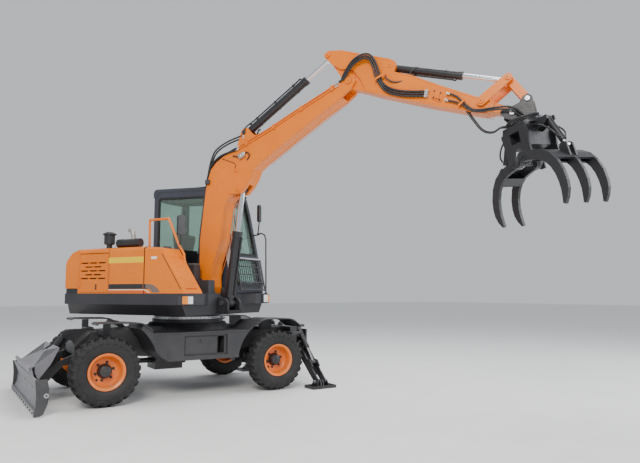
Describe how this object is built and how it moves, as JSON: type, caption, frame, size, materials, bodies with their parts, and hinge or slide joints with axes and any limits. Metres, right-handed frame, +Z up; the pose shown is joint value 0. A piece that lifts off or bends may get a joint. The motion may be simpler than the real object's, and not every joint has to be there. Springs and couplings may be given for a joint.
{
  "type": "wheeled excavator with log grapple",
  "caption": "Wheeled excavator with a swinging upper body, one-piece boom, long arm, rotating log grapple, dozer blade and stabiliser legs.",
  "frame": {"origin": "middle of the footprint box of the whole machine, on the ground", "axes": "+X along the chassis from the dozer blade to the stabilisers, +Y to the left of that, +Z up"},
  "size_m": [5.1032, 6.8427, 4.69],
  "materials": {
    "chassis_grey": "satin",
    "frame_black": "satin",
    "orange_paint": "gloss",
    "blade_grey": "satin",
    "tyre_rubber": "matte",
    "chrome_rod": "polished",
    "cab_grey": "satin",
    "window": "clear",
    "seat_cloth": "matte",
    "cab_plastic": "matte",
    "iron": "matte"
  },
  "bodies": {
    "chassis": {"chassis_frame": "chassis_grey", "steer_axle": "frame_black", "drive_axle": "frame_black"},
    "knuckle_r": {"knuckle_r": "frame_black"},
    "knuckle_l": {"knuckle_l": "frame_black"},
    "tie_rod": {"tie_rod": "frame_black"},
    "wheel_blade_r": {"rim_blade_r": "orange_paint", "tyre_blade_r": "tyre_rubber"},
    "wheel_blade_l": {"rim_blade_l": "orange_paint", "tyre_blade_l": "tyre_rubber"},
    "wheel_stab_r": {"rim_stab_r": "orange_paint", "tyre_stab_r": "tyre_rubber"},
    "wheel_stab_l": {"rim_stab_l": "orange_paint", "tyre_stab_l": "tyre_rubber"},
    "blade": {"blade": "blade_grey"},
    "blade_barrel": {"blade_barrel": "frame_black"},
    "blade_rod": {"blade_rod": "chrome_rod"},
    "upper": {"upper_frame": "frame_black", "counterweight": "orange_paint", "engine_cover": "orange_paint", "engine": "iron", "tank": "orange_paint", "cab_shell": "cab_grey", "cab_glass": "window", "seat": "seat_cloth", "console": "cab_plastic", "front_guard": "frame_black", "handrails": "orange_paint", "mirrors": "frame_black", "exhaust": "frame_black"},
    "engine_lid": {"hood": "orange_paint"},
    "side_door": {"vent_door": "orange_paint"},
    "cab_door": {"cab_door": "cab_grey", "door_glass": "window"},
    "grapple": {"grapple_frame": "frame_black"},
    "boom": {"boom": "orange_paint"},
    "boom_barrel": {"boom_barrel": "frame_black"},
    "boom_rod": {"boom_rod": "chrome_rod"},
    "arm": {"arm": "orange_paint"},
    "arm_barrel": {"arm_barrel": "frame_black"},
    "arm_rod": {"arm_rod": "chrome_rod"},
    "tool_barrel": {"tool_barrel": "frame_black"},
    "tool_rod": {"tool_rod": "chrome_rod"},
    "idler": {"idler": "orange_paint"},
    "tool_link": {"tool_link": "orange_paint"},
    "tool_bracket": {"tool_bracket": "frame_black"},
    "jaw_three": {"jaw_three": "frame_black"},
    "jaw_two": {"jaw_two": "frame_black"},
    "grip_barrel_three": {"grip_barrel_three": "frame_black"},
    "grip_rod_three": {"grip_rod_three": "chrome_rod"},
    "grip_barrel_two": {"grip_barrel_two": "frame_black"},
    "grip_rod_two": {"grip_rod_two": "chrome_rod"},
    "stab_leg_r": {"stab_leg_r": "frame_black"},
    "stab_pad_r": {"stab_pad_r": "frame_black"},
    "stab_barrel_r": {"stab_barrel_r": "frame_black"},
    "stab_rod_r": {"stab_rod_r": "chrome_rod"},
    "stab_leg_l": {"stab_leg_l": "frame_black"},
    "stab_pad_l": {"stab_pad_l": "frame_black"},
    "stab_barrel_l": {"stab_barrel_l": "frame_black"},
    "stab_rod_l": {"stab_rod_l": "chrome_rod"}
  },
  "joints": [
    {"name": "wheel_blade_r_spin", "type": "hinge", "parent": "knuckle_r", "child": "wheel_blade_r", "pos_m": [-1.717, 0.696, 0.43], "axis": [0, 1, 0], "continuous": true},
    {"name": "wheel_blade_l_spin", "type": "hinge", "parent": "knuckle_l", "child": "wheel_blade_l", "pos_m": [-1.717, 2.546, 0.43], "axis": [0, 1, 0], "continuous": true},
    {"name": "wheel_stab_r_spin", "type": "hinge", "parent": "chassis", "child": "wheel_stab_r", "pos_m": [0.677, 0.696, 0.43], "axis": [0, 1, 0], "continuous": true},
    {"name": "wheel_stab_l_spin", "type": "hinge", "parent": "chassis", "child": "wheel_stab_l", "pos_m": [0.677, 2.546, 0.43], "axis": [0, 1, 0], "continuous": true},
    {"name": "steer_r", "type": "hinge", "parent": "chassis", "child": "knuckle_r", "pos_m": [-1.717, 0.921, 0.43], "axis": [0, 0, 1], "range_deg": [-30, 30]},
    {"name": "steer_l", "type": "hinge", "parent": "chassis", "child": "knuckle_l", "pos_m": [-1.717, 2.321, 0.43], "axis": [0, 0, 1], "range_deg": [-30.5, 30.5]},
    {"name": "tie_rod_slide", "type": "slide", "parent": "chassis", "child": "tie_rod", "axis": [0, 1, 0], "range_m": [-0.089, 0.089]},
    {"name": "blade_lift", "type": "hinge", "parent": "chassis", "child": "blade", "pos_m": [-1.942, 1.621, 0.56], "axis": [0, 1, 0], "range_deg": [-8, 20]},
    {"name": "blade_barrel_swing", "type": "hinge", "parent": "chassis", "child": "blade_barrel", "pos_m": [-2.039, 1.621, 0.838], "axis": [0, 1, 0], "range_deg": [-5.8, 14.3]},
    {"name": "blade_rod_slide", "type": "slide", "parent": "blade_barrel", "child": "blade_rod", "axis": [-0.5637, 0, -0.826], "range_m": [-0.089, 0.036]},
    {"name": "stab_leg_r_swing", "type": "hinge", "parent": "chassis", "child": "stab_leg_r", "pos_m": [1.313, 1.061, 0.62], "axis": [-1, 0, 0], "range_deg": [0, 55]},
    {"name": "stab_pad_r_tilt", "type": "hinge", "parent": "stab_leg_r", "child": "stab_pad_r", "pos_m": [1.313, 0.451, 0.092], "axis": [-1, 0, 0], "range_deg": [-30, 30]},
    {"name": "stab_barrel_r_swing", "type": "hinge", "parent": "chassis", "child": "stab_barrel_r", "pos_m": [1.313, 1.116, 0.88], "axis": [-1, 0, 0], "range_deg": [-0.1, 38.9]},
    {"name": "stab_rod_r_slide", "type": "slide", "parent": "stab_barrel_r", "child": "stab_rod_r", "axis": [0, -0.6569, -0.754], "range_m": [-0.18, 0.001]},
    {"name": "stab_leg_l_swing", "type": "hinge", "parent": "chassis", "child": "stab_leg_l", "pos_m": [1.313, 2.181, 0.62], "axis": [1, 0, 0], "range_deg": [0, 55]},
    {"name": "stab_pad_l_tilt", "type": "hinge", "parent": "stab_leg_l", "child": "stab_pad_l", "pos_m": [1.313, 2.791, 0.092], "axis": [1, 0, 0], "range_deg": [-30, 30]},
    {"name": "stab_barrel_l_swing", "type": "hinge", "parent": "chassis", "child": "stab_barrel_l", "pos_m": [1.313, 2.126, 0.88], "axis": [1, 0, 0], "range_deg": [-0.1, 38.9]},
    {"name": "stab_rod_l_slide", "type": "slide", "parent": "stab_barrel_l", "child": "stab_rod_l", "axis": [0, 0.6569, -0.754], "range_m": [-0.18, 0.001]},
    {"name": "swing", "type": "hinge", "parent": "chassis", "child": "upper", "pos_m": [-0.317, 1.621, 1.056], "axis": [0, 0, 1], "continuous": true},
    {"name": "engine_lid", "type": "hinge", "parent": "upper", "child": "engine_lid", "pos_m": [-0.925, 2.67409, 2.0525], "axis": [-0.866, -0.5, 0], "range_deg": [0, 60]},
    {"name": "side_door", "type": "hinge", "parent": "upper", "child": "side_door", "pos_m": [-1.76747, 2.17729, 1.409], "axis": [0, 0, 1], "range_deg": [-110, 0]},
    {"name": "cab_door", "type": "hinge", "parent": "upper", "child": "cab_door", "pos_m": [0.35292, 2.37266, 1.456], "axis": [0, 0, 1], "range_deg": [0, 100]},
    {"name": "boom_lift", "type": "hinge", "parent": "upper", "child": "boom", "pos_m": [-0.117, 1.27459, 1.46], "axis": [-0.866, -0.5, 0], "range_deg": [-50, 8]},
    {"name": "boom_barrel_swing", "type": "hinge", "parent": "upper", "child": "boom_barrel", "pos_m": [0.0555, 0.97581, 1.25], "axis": [-0.866, -0.5, 0], "range_deg": [-49.6, 8.1]},
    {"name": "boom_rod_slide", "type": "slide", "parent": "boom_barrel", "child": "boom_rod", "axis": [0.0688, -0.1192, 0.9905], "range_m": [-0.341, 0.056]},
    {"name": "arm_swing", "type": "hinge", "parent": "boom", "child": "arm", "pos_m": [1.0445, -0.73719, 4.218], "axis": [0.866, 0.5, 0], "range_deg": [-25, 70]},
    {"name": "arm_barrel_swing", "type": "hinge", "parent": "boom", "child": "arm_barrel", "pos_m": [0.203, 0.72033, 3.735], "axis": [-0.866, -0.5, 0], "range_deg": [-5.4, 2]},
    {"name": "arm_rod_slide", "type": "slide", "parent": "arm_barrel", "child": "arm_rod", "axis": [0.4197, -0.7269, 0.5435], "range_m": [-0.199, 0.554]},
    {"name": "tool_curl", "type": "hinge", "parent": "arm", "child": "tool_bracket", "pos_m": [2.0835, -2.53679, 3.483], "axis": [-0.866, -0.5, 0], "range_deg": [-60, 30]},
    {"name": "idler_swing", "type": "hinge", "parent": "arm", "child": "idler", "pos_m": [1.9095, -2.23541, 3.67], "axis": [-0.866, -0.5, 0], "range_deg": [-33.5, 16.8]},
    {"name": "tool_link_swing", "type": "hinge", "parent": "idler", "child": "tool_link", "pos_m": [2.067, -2.50821, 3.905], "axis": [-0.866, -0.5, 0], "range_deg": [-15.1, 30.1]},
    {"name": "tool_barrel_swing", "type": "hinge", "parent": "arm", "child": "tool_barrel", "pos_m": [1.336, -1.24208, 4.33], "axis": [-0.866, -0.5, 0], "range_deg": [-6, 3.1]},
    {"name": "tool_rod_slide", "type": "slide", "parent": "tool_barrel", "child": "tool_rod", "axis": [0.4801, -0.8316, -0.2791], "range_m": [-0.081, 0.16]},
    {"name": "rotator", "type": "hinge", "parent": "tool_bracket", "child": "grapple", "pos_m": [2.1475, -2.64764, 3.392], "axis": [-0.0911, 0.1578, 0.9833], "continuous": true},
    {"name": "jaw_three_swing", "type": "hinge", "parent": "grapple", "child": "jaw_three", "pos_m": [2.17996, -2.84151, 2.93795], "axis": [-0.9914, 0.0788, -0.1045], "range_deg": [-42, 4]},
    {"name": "jaw_two_swing", "type": "hinge", "parent": "grapple", "child": "jaw_two", "pos_m": [2.20252, -2.60527, 2.90212], "axis": [0.9914, -0.0788, 0.1045], "range_deg": [-42.5, 4.5]},
    {"name": "grip_barrel_three_swing", "type": "hinge", "parent": "grapple", "child": "grip_barrel_three", "pos_m": [2.12713, -2.95651, 3.35222], "axis": [-0.9914, 0.0788, -0.1045], "range_deg": [-14.3, 1.5]},
    {"name": "grip_rod_three_slide", "type": "slide", "parent": "grip_barrel_three", "child": "grip_rod_three", "axis": [0.0488, -0.5184, -0.8537], "range_m": [-0.021, 0.21]},
    {"name": "grip_barrel_two_swing", "type": "hinge", "parent": "grapple", "child": "grip_barrel_two", "pos_m": [2.18354, -2.36592, 3.26266], "axis": [0.9914, -0.0788, 0.1045], "range_deg": [-14.3, 1.5]},
    {"name": "grip_rod_two_slide", "type": "slide", "parent": "grip_barrel_two", "child": "grip_rod_two", "axis": [0.1199, 0.2262, -0.9667], "range_m": [-0.021, 0.21]}
  ],
  "couplings": [
    {"joint": "steer_l", "follows": "steer_r", "ratio": 1},
    {"joint": "tie_rod_slide", "follows": "steer_r", "m_per_rad": -0.16712},
    {"joint": "blade_barrel_swing", "follows": "blade_lift", "ratio": 0.706},
    {"joint": "blade_rod_slide", "follows": "blade_lift", "m_per_rad": -0.25034},
    {"joint": "stab_barrel_r_swing", "follows": "stab_leg_r_swing", "ratio": 0.7052},
    {"joint": "stab_rod_r_slide", "follows": "stab_leg_r_swing", "m_per_rad": -0.18593},
    {"joint": "stab_barrel_l_swing", "follows": "stab_leg_l_swing", "ratio": 0.7052},
    {"joint": "stab_rod_l_slide", "follows": "stab_leg_l_swing", "m_per_rad": -0.18593},
    {"joint": "boom_barrel_swing", "follows": "boom_lift", "ratio": 0.9888},
    {"joint": "boom_rod_slide", "follows": "boom_lift", "m_per_rad": 0.38902},
    {"joint": "arm_barrel_swing", "follows": "arm_swing", "ratio": -0.0743},
    {"joint": "arm_rod_slide", "follows": "arm_swing", "m_per_rad": 0.4519},
    {"joint": "idler_swing", "follows": "tool_curl", "ratio": 0.5565},
    {"joint": "tool_link_swing", "follows": "tool_curl", "ratio": -0.5},
    {"joint": "tool_barrel_swing", "follows": "tool_curl", "ratio": 0.0982},
    {"joint": "tool_rod_slide", "follows": "tool_curl", "m_per_rad": -0.1511},
    {"joint": "jaw_two_swing", "follows": "jaw_three_swing", "ratio": 1},
    {"joint": "grip_barrel_three_swing", "follows": "jaw_three_swing", "ratio": 0.3371},
    {"joint": "grip_rod_three_slide", "follows": "jaw_three_swing", "m_per_rad": -0.28507},
    {"joint": "grip_barrel_two_swing", "follows": "jaw_three_swing", "ratio": 0.3371},
    {"joint": "grip_rod_two_slide", "follows": "jaw_three_swing", "m_per_rad": -0.28507}
  ]
}
